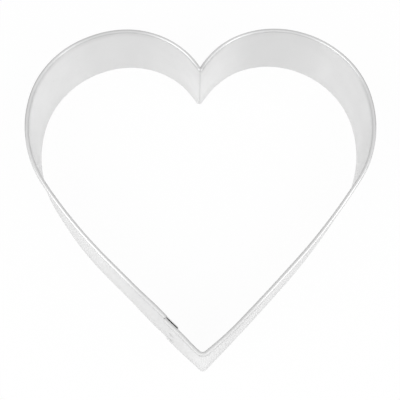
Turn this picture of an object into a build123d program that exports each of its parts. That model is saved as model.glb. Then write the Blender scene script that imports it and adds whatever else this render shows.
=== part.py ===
"""Heart-shaped cookie cutter of tinplate.

One strip of sheet with its top edge curled outward is bent to a heart, with a sharp fold at
the cleft and a small round fold at the tip. Its ends lap on the lower left side, and two spot
welds hold the lap. Millimetres, +Z up: the cutting edge lies on z = 0 and the curled edge is
on top. +Y runs from the tip to the cleft. The origin is under the middle of the heart.
"""
from build123d import *
import math
import os

# The heart, seen from above: its arcs are shares of half the width inside the strip
overall_width = 127.0
crown_radius_share = 0.49
lobe_radius_share = 0.56
shoulder_radius_share = 0.745
hip_radius_share = 3.2
lobe_end_angle = 74.0
shoulder_end_angle = 12.0
hip_start_angle = -33.5
side_angle = -44.0
cleft_fold_radius = 1.2
tip_fold_radius = 1.3

# The strip
depth = 25.4
sheet = 0.3
curl_diameter = 1.6
curl_turn = 285.0

# The lap
lap_from_tip = 11.3
lap_length = 5.2
lap_clearance = 0.1
end_clearance = 0.3
weld_radius = 1.2
weld_dent = 0.05
upper_weld_height_share = 0.4
lower_weld_height_share = 0.14

curl_radius = curl_diameter / 2
curl_height = depth - curl_radius
inner_half_width = overall_width / 2 - curl_diameter
crown_radius = crown_radius_share * inner_half_width
lobe_radius = lobe_radius_share * inner_half_width
shoulder_radius = shoulder_radius_share * inner_half_width
hip_radius = hip_radius_share * inner_half_width


def polar(length, angle):
    """A step of the given length at an angle in degrees."""
    return Vector(length * math.cos(math.radians(angle)), length * math.sin(math.radians(angle)))


def heading(step):
    """The angle in degrees of a step seen from above."""
    return math.degrees(math.atan2(step.Y, step.X))


def downhill(angle):
    """The way from the lobe to the tip along a side whose outward direction is this angle."""
    return polar(1, angle - 90)


# The right half is a chain of arcs from the cleft round the lobe and down to the hip, where a
# straight side carries on to the tip. Each arc starts in line with the one before. The radii
# are those of the wall's inner face, and the widest point of the heart is at y = 0 here.
shoulder_centre = Vector(inner_half_width - shoulder_radius, 0)
lobe_centre = shoulder_centre + polar(shoulder_radius - lobe_radius, shoulder_end_angle)
crown_centre = lobe_centre + polar(lobe_radius - crown_radius, lobe_end_angle)
hip_centre = shoulder_centre + polar(shoulder_radius - hip_radius, hip_start_angle)

# The cleft's fold turns about a point outside the heart, on the middle line
cleft_reach = math.sqrt((crown_radius + cleft_fold_radius) ** 2 - crown_centre.X ** 2)
cleft_centre = Vector(0, crown_centre.Y + cleft_reach)
cleft_angle = heading(cleft_centre - crown_centre)

# The tip's fold turns about a point on the middle line that lies its radius inside the side
side_start = hip_centre + polar(hip_radius, side_angle)
side_distance = side_start.dot(polar(1, side_angle))
tip_centre = Vector(0, (side_distance - tip_fold_radius) / math.sin(math.radians(side_angle)))
side_end = tip_centre + polar(tip_fold_radius, side_angle)

# The lap is set out up the side from the tip's fold. The strip that comes down the left side
# turns in a little more at the hip, so that it runs inside the other end by the lap's middle.
lap_end = side_end - downhill(side_angle) * lap_from_tip
lap_middle = lap_end - downhill(side_angle) * (lap_length / 2)
lap_start = lap_end - downhill(side_angle) * lap_length
inner_layer = lap_middle - polar(sheet + lap_clearance, side_angle) - hip_centre
hip_share_of_reach = hip_radius / inner_layer.length
left_side_angle = heading(inner_layer) + math.degrees(math.acos(hip_share_of_reach))
left_side_start = hip_centre + polar(hip_radius, left_side_angle)


def strip_section(radius):
    """The wall with its curled top, with the wall's inner face at this radius."""
    middle = (radius + curl_radius, curl_height)
    outside = CenterArc(middle, curl_radius, 180, -curl_turn)
    inside = CenterArc(middle, curl_radius - sheet, 180, -curl_turn)
    lip = Line(outside @ 1, inside @ 1)
    foot = Polyline(inside @ 0, (radius + sheet, 0), (radius, 0), outside @ 0)
    return make_face([outside, lip, inside, foot])


def wall_section(height):
    """The bare sheet, standing on the cutting edge."""
    return Rectangle(sheet, height, align=(Align.MIN, Align.MIN))


def upright(centre, angle):
    """The upright plane through an arc's centre, with its x axis pointing out at this angle."""
    across = polar(1, angle)
    return Plane(origin=centre, x_dir=across, z_dir=across.cross(Vector(0, 0, 1)))


def bend(section, centre, start_angle, end_angle):
    """The section turned about an arc's centre, from one angle to the other."""
    axis = Axis(centre, (0, 0, 1))
    return revolve(upright(centre, start_angle) * section, axis, end_angle - start_angle)


def run(section, start, angle, length):
    """The section carried straight downhill from a point on the wall's inner face."""
    return extrude(upright(start, angle) * section, length)


def lobe_half():
    """The right half from the cleft to the widest point, up to the middle plane."""
    crown = bend(strip_section(crown_radius), crown_centre, lobe_end_angle, cleft_angle)
    lobe = bend(strip_section(lobe_radius), lobe_centre, shoulder_end_angle, lobe_end_angle)
    shoulder = bend(strip_section(shoulder_radius), shoulder_centre, 0, shoulder_end_angle)
    return split(crown, Plane.YZ, keep=Keep.TOP) + lobe + shoulder


def cleft_fold():
    """The tight fold between the lobes, where the curl is nipped at the fold's centre."""
    reach = Rectangle(cleft_fold_radius, depth, align=(Align.MIN, Align.MIN))
    nipped = strip_section(0) & reach
    turned = Pos(cleft_fold_radius, 0) * mirror(nipped, Plane.YZ)
    return bend(turned, cleft_centre, -cleft_angle, cleft_angle - 180)


def haunch(end_angle):
    """The right side from the widest point to the end of the hip."""
    shoulder = bend(strip_section(shoulder_radius), shoulder_centre, hip_start_angle, 0)
    hip = bend(strip_section(hip_radius), hip_centre, end_angle, hip_start_angle)
    return shoulder + hip


def right_side():
    """The right side from the widest point round the tip's fold."""
    straight = run(strip_section(0), side_start, side_angle, (side_end - side_start).length)
    tip = bend(strip_section(tip_fold_radius), tip_centre, -180 - side_angle, side_angle)
    return haunch(side_angle) + straight + tip


def outer_end():
    """The strip's end that comes up from the tip and lies outside in the lap, on the right."""
    length = lap_from_tip + lap_length - end_clearance
    return run(strip_section(0), side_end - downhill(side_angle) * length, side_angle, length)


def inner_end():
    """The strip's end that comes down from the hip, on the right, with its bare tab."""
    length = (lap_start - left_side_start).dot(downhill(left_side_angle))
    straight = run(strip_section(0), left_side_start, left_side_angle, length)
    tab = run(wall_section(curl_height), left_side_start, left_side_angle, length + lap_length)
    return haunch(left_side_angle) + straight + tab


def through_lap(height_share, length):
    """A round bar of the welds' size through the middle of the lap, at a share of the depth."""
    lap_plane = upright(lap_middle, side_angle)
    between_sheets = lap_plane.from_local_coords((-lap_clearance / 2, depth * height_share))
    across = Plane(origin=between_sheets, x_dir=(0, 0, 1), z_dir=lap_plane.x_dir)
    return mirror(across * Cylinder(weld_radius, length), Plane.YZ)


right_lobe = lobe_half()
left_ends = mirror(inner_end() + outer_end(), Plane.YZ)
band = right_lobe + mirror(right_lobe, Plane.YZ) + cleft_fold() + right_side() + left_ends

weld_height_shares = {
    "upper_spot_weld": upper_weld_height_share,
    "lower_spot_weld": lower_weld_height_share,
}
lap_thickness = 2 * sheet + lap_clearance
pieces = {"heart_band": band}
for name, height_share in weld_height_shares.items():
    pieces["heart_band"] -= through_lap(height_share, 2 * lap_thickness)
    pieces[name] = through_lap(height_share, lap_thickness - 2 * weld_dent)

middle = band.bounding_box().center()
to_origin = Pos(-middle.X, -middle.Y, 0)

os.makedirs("parts", exist_ok=True)
for name, piece in pieces.items():
    export_step(to_origin * piece, f"parts/{name}.step")
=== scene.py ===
import bmesh
import bpy
import math
from mathutils import Matrix, Vector, noise


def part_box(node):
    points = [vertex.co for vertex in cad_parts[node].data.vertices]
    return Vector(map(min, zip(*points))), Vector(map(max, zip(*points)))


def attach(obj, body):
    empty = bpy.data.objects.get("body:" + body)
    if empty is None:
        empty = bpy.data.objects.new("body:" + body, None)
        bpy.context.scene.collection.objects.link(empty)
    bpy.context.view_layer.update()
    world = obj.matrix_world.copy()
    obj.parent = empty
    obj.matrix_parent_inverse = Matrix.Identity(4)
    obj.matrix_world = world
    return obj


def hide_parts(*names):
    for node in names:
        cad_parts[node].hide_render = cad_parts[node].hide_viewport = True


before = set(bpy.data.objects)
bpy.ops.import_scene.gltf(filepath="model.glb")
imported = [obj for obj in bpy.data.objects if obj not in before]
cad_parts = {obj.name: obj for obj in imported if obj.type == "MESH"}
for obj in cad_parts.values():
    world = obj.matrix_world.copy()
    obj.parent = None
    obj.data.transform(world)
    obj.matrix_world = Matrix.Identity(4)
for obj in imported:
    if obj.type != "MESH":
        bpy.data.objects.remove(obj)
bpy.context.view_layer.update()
bandLow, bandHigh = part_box("heart_band")
print("Frame loaded:", ", ".join(sorted(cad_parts)))

plainWhite = (1, 1, 1, 1)
crispAngle = 32.0              # degrees: edges that bend more aren't shaded smooth


# Small helpers

def polar(length, angle):
    return Vector((math.cos(math.radians(angle)), math.sin(math.radians(angle)), 0)) * length


def heading(step):
    return math.degrees(math.atan2(step.y, step.x))


def acrossTheMiddle(point):
    return Vector((-point.x, point.y, point.z))


def vertsOf(geometry):
    return [part for part in geometry if isinstance(part, bmesh.types.BMVert)]


def smoothShare(value, start, end):
    share = min(max((value - start) / (end - start), 0), 1)
    return share * share * (3 - 2 * share)


def finishPiece(bm, name, material):
    mesh = bpy.data.meshes.new(name)
    bm.to_mesh(mesh)
    bm.free()
    mesh.shade_smooth()
    mesh.set_sharp_from_angle(angle=math.radians(crispAngle))
    mesh.materials.append(material)
    piece = bpy.data.objects.new(name, mesh)
    bpy.context.scene.collection.objects.link(piece)
    print(name, len(mesh.polygons), "faces")
    return piece


# Shader nodes: a socket is given by its label, or by its number as at0, at1 and so on

def addNode(tree, kind, settings=None, **links):
    node = tree.nodes.new(kind)
    for key, value in (settings or {}).items():
        setattr(node, key, value)
    for label, source in links.items():
        label = label.replace("_", " ")
        socket = node.inputs[int(label[2:])] if label.startswith("at") else node.inputs[label]
        if isinstance(source, bpy.types.NodeSocket):
            tree.links.new(source, socket)
        else:
            socket.default_value = source
    return node


def calculate(tree, operation, *values):
    numbered = {f"at{number}": value for number, value in enumerate(values)}
    return addNode(tree, "ShaderNodeMath", {"operation": operation}, **numbered).outputs[0]


def moveRange(tree, value, **ends):
    return addNode(tree, "ShaderNodeMapRange", Value=value, **ends).outputs[0]


def mixColours(tree, share, low, high):
    mix = addNode(tree, "ShaderNodeMix", {"data_type": "RGBA"}, Factor=share, A=low, B=high)
    return mix.outputs["Result"]


def placeGroup(tree, group, **links):
    return addNode(tree, "ShaderNodeGroup", {"node_tree": group}, **links)


def newGroup(name, inputs, outputs):
    group = bpy.data.node_groups.new(name, "ShaderNodeTree")
    for label, kind in inputs.items():
        group.interface.new_socket(label, in_out="INPUT", socket_type=kind)
    for label, kind in outputs.items():
        group.interface.new_socket(label, in_out="OUTPUT", socket_type=kind)
    start = group.nodes.new("NodeGroupInput")
    end = group.nodes.new("NodeGroupOutput")
    return group, start.outputs, end.inputs


def newMaterial(name):
    material = bpy.data.materials.new(name)
    material.use_nodes = True
    tree = material.node_tree
    return material, tree, tree.nodes["Principled BSDF"]


# Node groups: fine lines left by the rolls, and soft blotches from handling with a few scratches

rollingGrain = {
    "detail": 4.0,
    "roughness": 0.62,
}

handlingWear = {
    "blotchDetail": 3.0,
    "blotchRoughness": 0.5,
    "blotchStart": 0.35,       # the noise at which a blotch starts, and at which it is full
    "blotchFull": 0.7,
    "scratchDetail": 1.0,
    "scratchBend": 1.5,
    "scratchLevel": 0.5,       # a scratch runs where its noise crosses this level
    "scratchWidth": 0.012,     # or comes this near to it
}


def makeGrainGroup():
    # the noise is stretched along the strip
    inputs = {"Vector": "NodeSocketVector", "Lines": "NodeSocketFloat", "Stretch": "NodeSocketFloat"}
    group, given, out = newGroup("RollingGrain", inputs, {"Grain": "NodeSocketFloat"})
    squeeze = addNode(group, "ShaderNodeCombineXYZ", at0=given["Stretch"], at1=1.0, at2=1.0)
    place = addNode(
        group, "ShaderNodeVectorMath", {"operation": "MULTIPLY"},
        at0=given["Vector"], at1=squeeze.outputs[0],
    )
    fine = addNode(
        group, "ShaderNodeTexNoise", Vector=place.outputs[0], Scale=given["Lines"],
        Detail=rollingGrain["detail"], Roughness=rollingGrain["roughness"],
    )
    group.links.new(fine.outputs["Fac"], out["Grain"])
    return group


def makeWearGroup():
    # the scratches show only where there are blotches
    inputs = {"Vector": "NodeSocketVector", "Blotches": "NodeSocketFloat", "Scratches": "NodeSocketFloat"}
    outputs = {"Smudge": "NodeSocketFloat", "Scratch": "NodeSocketFloat"}
    group, given, out = newGroup("HandlingWear", inputs, outputs)
    cloud = addNode(
        group, "ShaderNodeTexNoise", Vector=given["Vector"], Scale=given["Blotches"],
        Detail=handlingWear["blotchDetail"], Roughness=handlingWear["blotchRoughness"],
    )
    smudge = moveRange(
        group, cloud.outputs["Fac"],
        From_Min=handlingWear["blotchStart"], From_Max=handlingWear["blotchFull"],
    )
    bent = addNode(
        group, "ShaderNodeTexNoise", Vector=given["Vector"], Scale=given["Scratches"],
        Detail=handlingWear["scratchDetail"], Distortion=handlingWear["scratchBend"],
    )
    fromLine = calculate(group, "SUBTRACT", bent.outputs["Fac"], handlingWear["scratchLevel"])
    distance = calculate(group, "ABSOLUTE", fromLine)
    thin = moveRange(group, distance, From_Max=handlingWear["scratchWidth"], To_Min=1.0, To_Max=0.0)
    group.links.new(smudge, out["Smudge"])
    group.links.new(calculate(group, "MULTIPLY", thin, smudge), out["Scratch"])
    return group


grainGroup = makeGrainGroup()
wearGroup = makeWearGroup()


# Tinplate

tinplateLook = {
    "bright": (0.93, 0.93, 0.93, 1),
    "dull": (0.79, 0.79, 0.79, 1),
    # the colour of worn tin, which also paints shade along the foot
    "wearAndFootShade": (0.79, 0.79, 0.79, 1),
    # painted shade: the fold's crease, the nipped curl, and dark patches on the curl
    "paintedShade": (0.5, 0.5, 0.5, 1),
    "sheared": (0.78, 0.78, 0.78, 1),
    # painted shade: nearly black on the tab's outer face inside the lap's gap
    "gapShade": (0.05, 0.05, 0.05, 1),
    "tone": 0.17,              # how dull the clean sheet is, from bright to dull
    "grainTone": 0.36,         # what the grain, blotches and scratches add to that
    "smudgeTone": 0.3,
    "scratchTone": 0.4,
    "grainLines": 5200.0,      # to the metre across the strip
    "grainStretch": 0.03,
    "blotches": 70.0,          # to the metre
    "scratches": 260.0,
    "roughLow": 0.25,
    "roughHigh": 0.34,
    "wearRough": 0.64,
    "metal": 0.86,             # what is left is the dull film of oxide
    "shearedMetal": 0.2,
    "grainStrength": 1.0,
    "grainHeight": 0.0000004,
}


def makeTinplate():
    look = tinplateLook
    material, tree, shader = newMaterial("Tinplate")
    strip = addNode(tree, "ShaderNodeUVMap", {"uv_map": "strip"}).outputs["UV"]
    where = addNode(tree, "ShaderNodeTexCoord").outputs["Object"]
    grain = placeGroup(
        tree, grainGroup, Vector=strip, Lines=look["grainLines"], Stretch=look["grainStretch"]
    )
    wear = placeGroup(
        tree, wearGroup, Vector=where, Blotches=look["blotches"], Scratches=look["scratches"]
    )
    shade = calculate(tree, "MULTIPLY_ADD", grain.outputs["Grain"], look["grainTone"], look["tone"])
    shade = calculate(tree, "MULTIPLY_ADD", wear.outputs["Smudge"], look["smudgeTone"], shade)
    shade = calculate(tree, "MULTIPLY_ADD", wear.outputs["Scratch"], look["scratchTone"], shade)
    colour = mixColours(tree, shade, look["bright"], look["dull"])

    # the marks that the band's mesh carries are laid over the sheet, one after the other
    marks = {}
    # painted shade comes in through these marks: on the crease and the curl, in the lap's gap, and along
    # the foot with the wear
    for mark in ("wearAndFootShade", "paintedShade", "sheared", "gapShade"):
        marks[mark] = addNode(tree, "ShaderNodeAttribute", {"attribute_name": mark}).outputs["Fac"]
        colour = mixColours(tree, marks[mark], colour, look[mark])
    tree.links.new(colour, shader.inputs["Base Color"])

    rough = moveRange(tree, shade, To_Min=look["roughLow"], To_Max=look["roughHigh"])
    roughest = calculate(tree, "MAXIMUM", marks["wearAndFootShade"], marks["sheared"])
    roughened = addNode(tree, "ShaderNodeMix", at0=roughest, at2=rough, at3=look["wearRough"])
    tree.links.new(roughened.outputs[0], shader.inputs["Roughness"])
    shine = moveRange(tree, marks["sheared"], To_Min=look["metal"], To_Max=look["shearedMetal"])
    tree.links.new(shine, shader.inputs["Metallic"])
    bump = addNode(
        tree, "ShaderNodeBump", Height=grain.outputs["Grain"],
        Strength=look["grainStrength"], Distance=look["grainHeight"],
    )
    tree.links.new(bump.outputs[0], shader.inputs["Normal"])
    return material


# Weld metal

weldLook = {
    "clean": (0.78, 0.78, 0.78, 1),
    "burnt": (0.6, 0.6, 0.6, 1),
    "blotches": 1500.0,        # to the metre
    "roughLow": 0.35,
    "roughHigh": 0.5,
    "pitStrength": 0.6,
    "pitHeight": 0.00002,
}


def makeWeldMetal():
    look = weldLook
    material, tree, shader = newMaterial("WeldMetal")
    where = addNode(tree, "ShaderNodeTexCoord").outputs["Object"]
    burn = placeGroup(tree, wearGroup, Vector=where, Blotches=look["blotches"]).outputs["Smudge"]
    tree.links.new(mixColours(tree, burn, look["clean"], look["burnt"]), shader.inputs["Base Color"])
    rough = moveRange(tree, burn, To_Min=look["roughLow"], To_Max=look["roughHigh"])
    tree.links.new(rough, shader.inputs["Roughness"])
    bump = addNode(
        tree, "ShaderNodeBump", Height=burn, Strength=look["pitStrength"], Distance=look["pitHeight"]
    )
    tree.links.new(bump.outputs[0], shader.inputs["Normal"])
    shader.inputs["Metallic"].default_value = 1.0
    return material


tinplate = makeTinplate()
weldMetal = makeWeldMetal()
print("Materials made")


# The band: one strip of sheet with a curled edge, bent to a heart and lapped

band = {
    "crownShare": 0.49,        # radii of the inner face, as shares of half the inner width
    "lobeShare": 0.56,
    "shoulderShare": 0.745,
    "hipShare": 3.2,
    "lobeEnd": 74.0,           # outward angles at which one arc hands over to the next
    "shoulderEnd": 12.0,
    "hipStart": -33.5,
    "side": -44.0,
    "cleftFold": 0.0012,
    "tipFold": 0.0013,
    "sheet": 0.0003,
    "curl": 0.0016,
    "curlTurn": 285.0,
    "lapFromTip": 0.0113,
    "lapLength": 0.0052,
    "lapClearance": 0.0001,
    "endClearance": 0.0003,
    "wallRows": 12,
    "curlSteps": 30,
    "arcStep": 2.0,            # degrees between two stations
    "fineArcStep": 0.5,        # on the hips and beside the cleft
    "besideCleft": 6.0,
    "foldStep": 7.0,
    "rightRunStep": 0.003,     # metres between two stations
    "leftRunStep": 0.0015,
    "lapRunStep": 0.00075,
    "nip": 0.00003,            # half the slit between the two curls at the cleft
    "nipReach": 0.006,
    "edgeAngle": 60.0,         # edges that bend more were sheared
    "edgeBreak": 0.00004,      # and are a little blunt
    "mergeWithin": 0.000002,
    "handBent": {
        "squeeze": 0.0108,     # the foot is a little narrower than the top
        "stretch": 0.0124,     # and a little longer, both ways from the widest point
        "widest": 0.0222,
        "tipDrift": 0.00096,   # and its tip lies further left
        "bow": 0.00028,        # the right side is a little hollow above and full below
        "bowMiddle": -0.027,
        "bowHalf": 0.032,
        "wave": 0.00003,       # the wall isn't quite even after bending
        "waveLength": 0.028,
        "waveSeed": 2,         # without one the wave is another in each run
        "spring": 0.0003,      # the lap's outer end springs out at the top
        "springFrom": 0.0115,  # above the upper weld
    },
    # where the hands pushed the band aside: the place, the shift of the top, that of the foot, the reach
    "pushes": {
        "tip": ((0, -0.0615), (-0.0009, 0), (0.0004, 0.0005), 0.014),
        "tipCorner": ((0, -0.0615), (-0.0001, 0.00045), (0, 0), 0.006),
        "rightCrown": ((0.008, 0.047), (0.0002, -0.0003), (0.0002, -0.0003), 0.014),
        "cleftFoot": ((0, 0.044), (0, 0), (0.0001, 0.0004), 0.004),
        "leftHaunch": ((-0.04, -0.014), (0, 0), (-0.00032, -0.00031), 0.022),
        "lapFoot": ((-0.021, -0.046), (0, 0), (-0.00022, -0.00022), 0.012),
        "lapTop": ((-0.0105, -0.0505), (-0.0002, -0.0002), (0, 0), 0.009),
        "aboveLap": ((-0.0215, -0.0395), (-0.00014, -0.00014), (0, 0), 0.014),
        "rightLobe": ((0.026, 0.056), (0, -0.00022), (0, 0), 0.026),
        "leftLobe": ((-0.036, 0.054), (0.0001, -0.00024), (0, 0), 0.016),
    },
    "marks": {
        "foldDark": 0.41,      # painted shade along the fold's crease
        "foldWidth": 0.0003,
        "foldFoot": -0.004,    # it fades towards the foot between these heights
        "foldFull": 0.0065,
        "nipDark": 0.34,       # painted shade on the nipped curl on the fold's right
        "nipLength": 0.0065,
        "footShadeAndWear": 0.45,      # painted shade along the foot, with the cutting edge's rubbed wear
        "edgeHeight": 0.007,
        "outsideStart": 95.0,  # where the curl's outer side starts, in degrees round the curl
        "outsideFull": 125.0,
        "cutWithin": 0.000001,     # the bare tab starts this near to the curl's cut end
        "tabFacing": 0.9,
        "evenWithin": 0.0000001,   # a sheared edge's corners are all as far along, or as far up
    },
    # the tin is worn where it was worked: the place and the lowest height, how far the wear is full
    # and how far it reaches, and how much there is
    "wearSpots": {
        "lap": ((-0.016, -0.046, 0), 0.006, 0.02, 0.25),
        "lapCurl": ((-0.012, -0.05, 0.0245), 0.01, 0.03, 1.0),
        "tipCurl": ((0.006, -0.056, 0.0245), 0.01, 0.03, 1.0),
        "rightCurl": ((0.03, -0.034, 0.0245), 0.012, 0.034, 0.5),
        "leftCrownCurl": ((-0.033, 0.059, 0.0245), 0.01, 0.026, 1.0),
        "rightCrownCurl": ((0.03, 0.06, 0.0245), 0.008, 0.022, 0.8),
        "rightNip": ((0.0052, 0.0525, 0.0243), 0.0035, 0.009, 0.62),
        "leftSideCurl": ((-0.061, 0.036, 0.0243), 0.014, 0.026, 0.9),
        "rightSideCurl": ((0.062, 0.026, 0.0243), 0.01, 0.019, 0.9),
        "leftLobe": ((-0.029, 0.056, 0), 0.008, 0.03, 0.6),
        "rightLobe": ((0.0305, 0.056, 0), 0.008, 0.027, 0.75),
        "rightShoulder": ((0.054, 0.036, 0), 0.012, 0.026, 0.3),
        "leftSide": ((-0.06, 0.008, 0), 0.006, 0.022, 0.5),
        "rightSide": ((0.06, 0.012, 0), 0.006, 0.024, 0.5),
    },
    # painted shade on the curl here and there, and more on its outer side at the far left and right
    "curlShade": {
        "leftCrown": ((-0.031, 0.059, 0.0247), 0.006, 0.022, 0.3),
        "rightCrown": ((0.032, 0.059, 0.0247), 0.006, 0.018, 0.25),
    },
    "outsideCurlShade": {
        "leftLobe": ((-0.061, 0.037, 0.0235), 0.012, 0.023, 0.6),
        "rightLobe": ((0.061, 0.037, 0.0235), 0.012, 0.023, 0.6),
    },
}

halfWidth = (bandHigh.x - bandLow.x) / 2 - band["curl"]
depth = bandHigh.z
curlHeight = depth - band["curl"] / 2


def outlineArcs():
    # the right half's arcs, with the widest point of the heart at y = 0
    names = ("crown", "lobe", "shoulder", "hip")
    arcs = {name: {"radius": band[name + "Share"] * halfWidth} for name in names}
    crown, lobe, shoulder, hip = (arcs[name] for name in names)
    shoulder["centre"] = Vector((halfWidth - shoulder["radius"], 0, 0))
    lobe["centre"] = shoulder["centre"] + polar(shoulder["radius"] - lobe["radius"], band["shoulderEnd"])
    crown["centre"] = lobe["centre"] + polar(lobe["radius"] - crown["radius"], band["lobeEnd"])
    hip["centre"] = shoulder["centre"] + polar(shoulder["radius"] - hip["radius"], band["hipStart"])
    cleftReach = math.sqrt((crown["radius"] + band["cleftFold"]) ** 2 - crown["centre"].x ** 2)
    arcs["cleft"] = {"radius": band["cleftFold"], "centre": Vector((0, crown["centre"].y + cleftReach, 0))}
    sideStart = hip["centre"] + polar(hip["radius"], band["side"])
    distance = sideStart.dot(polar(1, band["side"])) - band["tipFold"]
    tipReach = distance / math.sin(math.radians(band["side"]))
    arcs["tip"] = {"radius": band["tipFold"], "centre": Vector((0, tipReach, 0))}
    return arcs, sideStart


def carry(bm, section, distance, steps, centre=Vector(), turn=0.0, run=Vector()):
    # the section goes round an arc or along a straight run, and keeps count of the strip's length
    along = bm.verts.layers.float["along"]
    for _ in range(steps):
        made = bmesh.ops.spin(
            bm, geom=section, cent=centre, axis=(0, 0, 1), dvec=run / steps,
            angle=math.radians(turn / steps), steps=1,
        )
        section = made["geom_last"]
        for vert in vertsOf(section):
            vert[along] += distance / steps
    return section


def carryRound(bm, section, arc, start, end, step):
    distance = math.radians(abs(end - start)) * arc["radius"]
    steps = max(1, round(abs(end - start) / step))
    return carry(bm, section, distance, steps, centre=arc["centre"], turn=end - start)


def carryStraight(bm, section, run, step, distance=None):
    steps = max(1, round(run.length / step))
    return carry(bm, section, run.length if distance is None else distance, steps, run=run)


def startSection(bm, foot, outward):
    # the sheet's cut end: a row of faces from the cutting edge up the wall and round the curl
    around = bm.verts.layers.float["around"]
    ends = [bm.verts.new(foot), bm.verts.new(foot + outward * band["sheet"])]
    edge = [*ends, bm.edges.new(ends)]
    rowHeight = curlHeight / band["wallRows"]
    for _ in range(band["wallRows"]):
        edge = bmesh.ops.spin(
            bm, geom=edge, cent=foot, axis=(0, 0, 1), dvec=(0, 0, rowHeight), angle=0, steps=1
        )["geom_last"]
        for vert in vertsOf(edge):
            vert[around] += rowHeight
    wallFaces = bm.faces[:]
    curlCentre = foot + outward * band["curl"] / 2 + Vector((0, 0, curlHeight))
    curlAxis = Vector((0, 0, 1)).cross(outward)
    turn = math.radians(band["curlTurn"] / band["curlSteps"])
    for _ in range(band["curlSteps"]):
        edge = bmesh.ops.spin(
            bm, geom=edge, cent=curlCentre, axis=curlAxis, angle=turn, steps=1
        )["geom_last"]
        for vert in vertsOf(edge):
            vert[around] += turn * band["curl"] / 2
    return bm.verts[:] + bm.edges[:] + bm.faces[:], wallFaces


def sweepBand(bm):
    arcs, sideStart = outlineArcs()
    crown, lobe, shoulder, hip = arcs["crown"], arcs["lobe"], arcs["shoulder"], arcs["hip"]
    left = {
        name: {"radius": arc["radius"], "centre": acrossTheMiddle(arc["centre"])}
        for name, arc in arcs.items()
    }
    cleftAngle = heading(arcs["cleft"]["centre"] - crown["centre"])
    nearCleft = cleftAngle - band["besideCleft"]
    side, hipStart = band["side"], band["hipStart"]
    shoulderEnd, lobeEnd = band["shoulderEnd"], band["lobeEnd"]
    step, fineStep, foldStep = band["arcStep"], band["fineArcStep"], band["foldStep"]
    downhill = polar(1, side - 90)

    # the strip's inner end runs inside the outer one by the lap's middle
    sideEnd = arcs["tip"]["centre"] + polar(band["tipFold"], side)
    lapMiddle = sideEnd - downhill * (band["lapFromTip"] + band["lapLength"] / 2)
    innerLayer = lapMiddle - polar(band["sheet"] + band["lapClearance"], side) - hip["centre"]
    leftSide = heading(innerLayer) + math.degrees(math.acos(hip["radius"] / innerLayer.length))
    leftDownhill = polar(1, leftSide - 90)
    leftStart = hip["centre"] + polar(hip["radius"], leftSide)
    lapStart = sideEnd - downhill * (band["lapFromTip"] + band["lapLength"])
    leftLength = (lapStart - leftStart).dot(leftDownhill)

    # up the left side
    uphill = acrossTheMiddle(-leftDownhill)
    foot = acrossTheMiddle(leftStart + leftDownhill * leftLength)
    section, wallFaces = startSection(bm, foot, polar(1, 180 - leftSide))
    section = carryStraight(bm, section, uphill * leftLength, band["leftRunStep"])

    # the bare tab is drawn out of the wall's cut end, into the lap
    tab = bmesh.ops.extrude_face_region(bm, geom=wallFaces)["geom"]
    bmesh.ops.delete(bm, geom=wallFaces, context="FACES")
    carryStraight(bm, tab, -uphill * band["lapLength"], band["lapRunStep"], -band["lapLength"])

    # round the left lobe to the cleft
    section = carryRound(bm, section, left["hip"], 180 - leftSide, 180 - hipStart, fineStep)
    section = carryRound(bm, section, left["shoulder"], 180 - hipStart, 180 - shoulderEnd, step)
    section = carryRound(bm, section, left["lobe"], 180 - shoulderEnd, 180 - lobeEnd, step)
    section = carryRound(bm, section, left["crown"], 180 - lobeEnd, 180 - nearCleft, step)
    section = carryRound(bm, section, left["crown"], 180 - nearCleft, 180 - cleftAngle, fineStep)

    # through the cleft and down the right side
    along = bm.verts.layers.float["along"]
    beforeFold = vertsOf(section)[0][along]
    section = carryRound(bm, section, arcs["cleft"], -cleftAngle, cleftAngle - 180, foldStep)
    middle = (beforeFold + vertsOf(section)[0][along]) / 2
    section = carryRound(bm, section, crown, cleftAngle, nearCleft, fineStep)
    section = carryRound(bm, section, crown, nearCleft, lobeEnd, step)
    section = carryRound(bm, section, lobe, lobeEnd, shoulderEnd, step)
    section = carryRound(bm, section, shoulder, shoulderEnd, hipStart, step)
    section = carryRound(bm, section, hip, hipStart, side, fineStep)
    section = carryStraight(bm, section, sideEnd - sideStart, band["rightRunStep"])

    # round the tip and up to the outer end
    section = carryRound(bm, section, arcs["tip"], side, -180 - side, foldStep)
    length = band["lapFromTip"] + band["lapLength"] - band["endClearance"]
    carryStraight(bm, section, acrossTheMiddle(-downhill) * length, band["lapRunStep"])
    return middle


def nipCurl(bm, middle):
    # where the sheet folds at the cleft, the two curls are pressed flat against each other
    along = bm.verts.layers.float["along"]
    for vert in bm.verts:
        past = vert[along] - middle
        if band["nip"] < abs(past) < band["nipReach"]:
            side = math.copysign(1, past)
            vert.co.x = side * max(side * vert.co.x, band["nip"])


def springEnd(bm):
    # the lap's outer end isn't held above the upper weld, and swings out from the tip there
    bent = band["handBent"]
    along = bm.verts.layers.float["along"]
    stripEnd = max(vert[along] for vert in bm.verts)
    length = band["lapFromTip"] + band["lapLength"]
    for vert in bm.verts:
        swing = max(1 - (stripEnd - vert[along]) / length, 0)
        high = smoothShare(vert.co.z, bent["springFrom"], depth)
        vert.co += polar(bent["spring"], 180 - band["side"]) * swing * high


def mostOf(spots, place):
    found = 0
    for (x, y, lowest), near, far, amount in spots.values():
        if place.z >= lowest:
            away = math.hypot(place.x - x, place.y - y)
            found = max(found, amount * (1 - smoothShare(away, near, far)))
    return found


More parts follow.
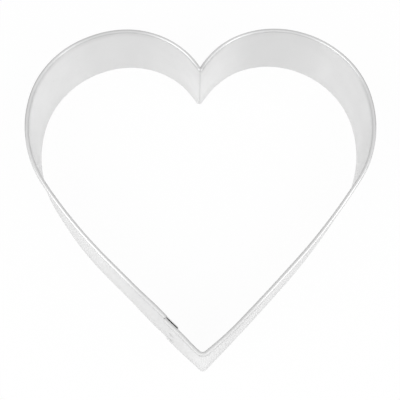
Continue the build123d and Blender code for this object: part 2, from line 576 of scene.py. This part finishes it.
def markWear(bm, middle):
    # painted shade at the fold and on the curl, wear at the worked places, and wear with painted shade
    # along the cutting edge
    marks = band["marks"]
    along, around = bm.verts.layers.float["along"], bm.verts.layers.float["around"]
    paintedShade, wearAndFootShade = bm.verts.layers.float["paintedShade"], bm.verts.layers.float["wearAndFootShade"]
    for vert in bm.verts:
        past = vert[along] - middle
        # painted shade along the fold's crease, on patches of the curl and its outer side, and on the
        # nipped curl
        fold = marks["foldDark"] * smoothShare(vert.co.z, marks["foldFoot"], marks["foldFull"])
        fold *= math.exp(-(past / marks["foldWidth"]) ** 2)
        turned = math.degrees((vert[around] - curlHeight) / (band["curl"] / 2))
        outside = smoothShare(turned, marks["outsideStart"], marks["outsideFull"])
        outerShade = mostOf(band["outsideCurlShade"], vert.co) * outside
        nipped = 0
        if vert[around] > curlHeight and past > 0:
            nipped = marks["nipDark"] * (1 - smoothShare(past, 0, marks["nipLength"]))
        vert[paintedShade] = max(fold, mostOf(band["curlShade"], vert.co), outerShade, nipped)
        # painted shade and wear: darker and rougher towards the foot
        footShadeAndRub = marks["footShadeAndWear"] * (1 - smoothShare(vert.co.z, 0, marks["edgeHeight"]))
        vert[wearAndFootShade] = max(footShadeAndRub, mostOf(band["wearSpots"], vert.co))

    # the shears leave the sheet's edges bright, and painted shade makes the tab's outer face inside the
    # lap's gap nearly black
    sheared, gapShade = bm.loops.layers.float.new("sheared"), bm.loops.layers.float.new("gapShade")
    outward = polar(1, 180 - band["side"])
    bm.normal_update()
    tabReach = [vert.co.dot(outward) for vert in bm.verts if vert[along] < -marks["cutWithin"]]
    tabMiddle = (min(tabReach) + max(tabReach)) / 2
    for face in bm.faces:
        onTab = max(vert[along] for vert in face.verts) < marks["cutWithin"]
        facing = abs(face.normal.dot(outward)) > marks["tabFacing"]
        if onTab and facing and face.calc_center_median().dot(outward) > tabMiddle:
            for loop in face.loops:
                loop[gapShade] = 1
        for layer in (along, around):
            values = [vert[layer] for vert in face.verts]
            if max(values) - min(values) < marks["evenWithin"]:
                for loop in face.loops:
                    loop[sheared] = 1


def settle(place):
    # the finished cutter isn't quite upright or even
    bent = band["handBent"]
    foot = 1 - min(place.z / depth, 1)
    fromLobes = (bandHigh.y - place.y) / (bandHigh.y - bandLow.y)
    ripple = noise.noise_vector(place / bent["waveLength"]) * bent["wave"]
    lean = Vector((
        -bent["squeeze"] * place.x - bent["tipDrift"] * fromLobes,
        bent["stretch"] * (place.y - bent["widest"]),
        0,
    ))
    phase = (bent["bowMiddle"] - place.y) / bent["bowHalf"]
    bow = math.sin(math.pi * phase) if abs(phase) < 1 and place.x > 0 else 0
    moved = place + Vector((ripple.x, ripple.y, 0)) + lean * foot + polar(bent["bow"] * bow, band["side"])
    for spot, topShift, footShift, reach in band["pushes"].values():
        away = math.hypot(place.x - spot[0], place.y - spot[1])
        shift = Vector((*topShift, 0)).lerp(Vector((*footShift, 0)), foot)
        moved += shift * (1 - smoothShare(away, 0, reach))
    return moved


def layStripMap(bm):
    # the strip's own map: metres along it, and metres up the wall and round the curl
    along, around = bm.verts.layers.float["along"], bm.verts.layers.float["around"]
    stripMap = bm.loops.layers.uv.new("strip")
    for face in bm.faces:
        for loop in face.loops:
            loop[stripMap].uv = (loop.vert[along], loop.vert[around])


def bluntEdges(bm):
    sharpest = math.radians(band["edgeAngle"])
    edges = [edge for edge in bm.edges if len(edge.link_faces) == 2 and edge.calc_face_angle() > sharpest]
    bmesh.ops.bevel(
        bm, geom=edges, offset=band["edgeBreak"], offset_type="OFFSET", segments=1,
        profile=0.5, affect="EDGES", material=-1, clamp_overlap=True,
    )


def makeBand():
    noise.seed_set(band["handBent"]["waveSeed"])
    bm = bmesh.new()
    for name in ("along", "around", "paintedShade", "wearAndFootShade"):
        bm.verts.layers.float.new(name)
    middle = sweepBand(bm)
    nipCurl(bm, middle)
    springEnd(bm)
    low = min(vert.co.y for vert in bm.verts)
    high = max(vert.co.y for vert in bm.verts)
    bmesh.ops.translate(bm, verts=bm.verts, vec=(0, (bandLow.y + bandHigh.y - low - high) / 2, 0))
    markWear(bm, middle)
    for vert in bm.verts:
        vert.co = settle(vert.co)
    bmesh.ops.dissolve_degenerate(bm, edges=bm.edges, dist=band["mergeWithin"])
    bmesh.ops.recalc_face_normals(bm, faces=bm.faces)
    layStripMap(bm)
    bluntEdges(bm)
    piece = finishPiece(bm, "TinplateBand", tinplate)
    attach(piece, "root")
    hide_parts("heart_band")


makeBand()


# The spot welds: each is a shallow dish inside a low ring, on both faces of the lap

weld = {
    "radius": 0.0012,
    "segments": 40,
    "ringShare": 0.14,         # shares of the radius
    "slopeShare": 0.2,
    "ringHeight": 0.00004,
    "dishDepth": 0.00003,
}


def makeWeld(node, name):
    low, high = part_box(node)
    thickness = 2 * band["sheet"] + band["lapClearance"]
    insets = (
        (weld["ringShare"], weld["ringHeight"]),
        (weld["ringShare"], 0),
        (weld["slopeShare"], -weld["dishDepth"]),
    )
    bm = bmesh.new()
    bmesh.ops.create_cone(
        bm, cap_ends=True, segments=weld["segments"],
        radius1=weld["radius"], radius2=weld["radius"], depth=thickness,
    )
    for cap in [face for face in bm.faces if len(face.verts) == weld["segments"]]:
        for share, step in insets:
            inset = share * weld["radius"]
            bmesh.ops.inset_region(bm, faces=[cap], thickness=inset, depth=step, use_even_offset=True)
    outward = polar(1, 180 - band["side"])
    bmesh.ops.transform(bm, verts=bm.verts, matrix=outward.to_track_quat("Z", "Y").to_matrix().to_4x4())
    bmesh.ops.translate(bm, verts=bm.verts, vec=(low + high) / 2)
    for vert in bm.verts:
        vert.co = settle(vert.co)
    piece = finishPiece(bm, name, weldMetal)
    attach(piece, "root")
    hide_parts(node)


for height in ("upper", "lower"):
    makeWeld(height + "_spot_weld", height.capitalize() + "WeldMark")
print("Welds made")


# The floor: white to the camera and in the metal, with a little of the shadow left

floor = {
    "halfSize": 4.0,
    "colour": (0.97, 0.97, 0.97, 1),
    "roughness": 0.9,
    "gloss": 0.0,
    "glow": 0.95,              # share that shows plain white instead of the lit floor
    "mirroredGlow": 0.5,       # and as the metal mirrors it
}


def whiteShare(tree, seen, mirrored):
    # how much plain white a ray meets: the camera's own, one through glass, or one that metal mirrors
    rays = addNode(tree, "ShaderNodeLightPath").outputs
    straight = calculate(tree, "MAXIMUM", rays["Is Camera Ray"], rays["Is Transmission Ray"])
    direct = calculate(tree, "MULTIPLY", straight, seen)
    bounced = calculate(tree, "MULTIPLY", rays["Is Glossy Ray"], mirrored)
    return calculate(tree, "MAXIMUM", direct, bounced)


def makeFloor():
    bm = bmesh.new()
    bmesh.ops.create_grid(bm, x_segments=1, y_segments=1, size=floor["halfSize"])
    material, tree, shader = newMaterial("WhiteFloor")
    shader.inputs["Base Color"].default_value = floor["colour"]
    shader.inputs["Roughness"].default_value = floor["roughness"]
    shader.inputs["Specular IOR Level"].default_value = floor["gloss"]
    white = addNode(tree, "ShaderNodeEmission", Color=plainWhite, Strength=1.0)
    share = whiteShare(tree, floor["glow"], floor["mirroredGlow"])
    mixed = addNode(tree, "ShaderNodeMixShader", at0=share, at1=shader.outputs[0], at2=white.outputs[0])
    tree.links.new(mixed.outputs[0], tree.nodes["Material Output"].inputs["Surface"])
    finishPiece(bm, "Floor", material)


makeFloor()


# Light: an even pale studio with a large soft box on either side of the camera

studio = {
    "low": (0.05, 0.05, 0.05, 1),      # the room is darker near the floor
    "high": (0.69, 0.69, 0.69, 1),
    "sideways": -0.3,                  # and more so at the sides
    "lowEnd": -0.2,                    # as shares of the way up
    "highStart": 0.4,
    "mirroredWhite": 0.15,             # share of the white backdrop that the metal mirrors
    "boxWidth": 1.0,
    "boxHeight": 0.75,
    "boxDistance": 0.9,
    "boxElevation": 40.0,
    "boxAngles": (-30.0, 210.0),
    "boxPower": 2.8,
}


def makeBackdrop():
    world = bpy.data.worlds.new("Studio")
    world.use_nodes = True
    tree = world.node_tree
    where = addNode(tree, "ShaderNodeTexCoord").outputs["Generated"]
    way = addNode(tree, "ShaderNodeSeparateXYZ", Vector=where).outputs
    aside = calculate(tree, "ABSOLUTE", way["X"])
    up = calculate(tree, "MULTIPLY_ADD", aside, studio["sideways"], way["Z"])
    share = moveRange(tree, up, From_Min=studio["lowEnd"], From_Max=studio["highStart"])
    room = mixColours(tree, share, studio["low"], studio["high"])
    backdrop = mixColours(tree, whiteShare(tree, 1.0, studio["mirroredWhite"]), room, plainWhite)
    tree.links.new(backdrop, tree.nodes["Background"].inputs["Color"])
    bpy.context.scene.world = world


def makeSoftBoxes():
    rise = math.radians(studio["boxElevation"])
    for number, angle in enumerate(studio["boxAngles"]):
        lamp = bpy.data.lights.new(f"SoftBox{number}", "AREA")
        lamp.shape = "RECTANGLE"
        lamp.size = studio["boxWidth"]
        lamp.size_y = studio["boxHeight"]
        lamp.energy = studio["boxPower"]
        box = bpy.data.objects.new(lamp.name, lamp)
        toBox = polar(math.cos(rise), angle) + Vector((0, 0, math.sin(rise)))
        box.location = toBox * studio["boxDistance"]
        box.rotation_euler = toBox.to_track_quat("Z", "Y").to_euler()
        bpy.context.scene.collection.objects.link(box)


makeBackdrop()
makeSoftBoxes()


# Camera

shot = {
    "lens": 72.0,
    "sensor": 36.0,
    "nearest": 0.01,                   # nothing closer than this shows
    "distance": 0.3034,
    "aim": (-0.00044, 0.00268),        # the point on the floor that it looks at
    "tilt": 23.51,                     # away from straight down, in degrees
    "yaw": -1.09,
    "spin": 1.08,
}


def makeCamera():
    camera = bpy.data.objects.new("Camera", bpy.data.cameras.new("Camera"))
    camera.data.lens = shot["lens"]
    camera.data.sensor_width = shot["sensor"]
    camera.data.clip_start = shot["nearest"]
    aside, ahead = -math.tan(math.radians(shot["yaw"])), math.tan(math.radians(shot["tilt"]))
    forward = Vector((aside, ahead, -1)).normalized()
    right = forward.cross(Vector((0, 1, 0))).normalized()
    upward = right.cross(forward)
    spin = Matrix.Rotation(-math.radians(shot["spin"]), 3, "Z")
    turned = Matrix((right, upward, -forward)).transposed() @ spin
    place = Vector((*shot["aim"], 0)) - forward * shot["distance"]
    camera.matrix_world = Matrix.Translation(place) @ turned.to_4x4()
    bpy.context.scene.collection.objects.link(camera)
    bpy.context.scene.camera = camera


makeCamera()
bpy.context.scene.view_settings.view_transform = "Standard"
print("Studio and camera set")
